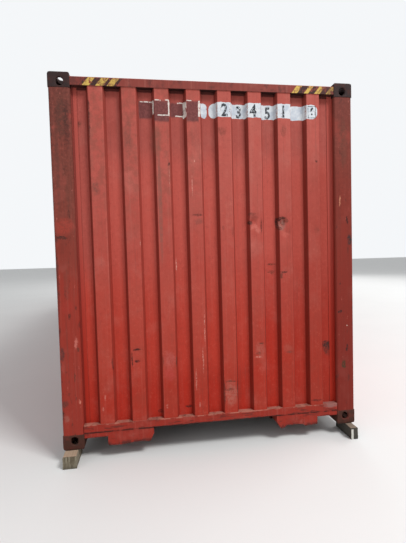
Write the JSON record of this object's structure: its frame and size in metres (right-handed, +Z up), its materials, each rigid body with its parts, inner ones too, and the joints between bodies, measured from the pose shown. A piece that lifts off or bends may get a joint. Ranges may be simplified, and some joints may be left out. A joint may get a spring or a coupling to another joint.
{
  "type": "shipping container",
  "caption": "High-cube dry freight container with corrugated steel walls, a gooseneck tunnel and closed double doors, on timber blocks.",
  "frame": {"origin": "centre of the bounding box on the ground, under the timber blocks", "axes": "+X along the container to its blind front end, +Z up, so facing the front end its left side is -Y"},
  "size_m": [12.374, 2.438, 2.994],
  "materials": {
    "wall_paint": "chalky weathered red paint",
    "frame_paint": "worn red paint with rust at the edges",
    "casting_paint": "worn dark red paint on cast steel",
    "galvanised": "dull galvanised",
    "rubber": "matte",
    "plywood": "worn, oiled",
    "timber": "rough sawn, weathered",
    "vent_plastic": "matte, painted over"
  },
  "bodies": {
    "root": {"fitting_front_bottom_left": "casting_paint", "fitting_front_bottom_right": "casting_paint", "fitting_front_top_left": "casting_paint", "fitting_front_top_right": "casting_paint", "fitting_rear_bottom_left": "casting_paint", "fitting_rear_bottom_right": "casting_paint", "fitting_rear_top_left": "casting_paint", "fitting_rear_top_right": "casting_paint", "front_post_left": "frame_paint", "front_post_right": "frame_paint", "front_wall": "wall_paint", "front_header": "frame_paint", "front_sill": "frame_paint", "tunnel_lug_left": "frame_paint", "tunnel_lug_right": "frame_paint", "side_wall_left": "wall_paint", "side_wall_right": "wall_paint", "top_rail_left": "frame_paint", "top_rail_right": "frame_paint", "bottom_rail_left": "frame_paint", "bottom_rail_right": "frame_paint", "roof_sheet": "wall_paint", "header_plates": "frame_paint", "roof_corner_plates": "frame_paint", "floor_boards": "plywood", "cross_members": "frame_paint", "tunnel_plate": "frame_paint", "tunnel_bows": "frame_paint", "rear_post_left": "frame_paint", "rear_post_right": "frame_paint", "door_header": "frame_paint", "door_sill": "frame_paint", "door_frame_left": "frame_paint", "door_frame_right": "frame_paint", "door_panel_left": "wall_paint", "door_panel_right": "wall_paint", "door_gaskets": "rubber", "door_hinges": "frame_paint", "lock_rods_left": "galvanised", "lock_rods_right": "galvanised", "rod_brackets": "galvanised", "cam_keepers": "galvanised", "ventilators": "vent_plastic", "timber_blocks": "timber"}
  },
  "joints": []
}
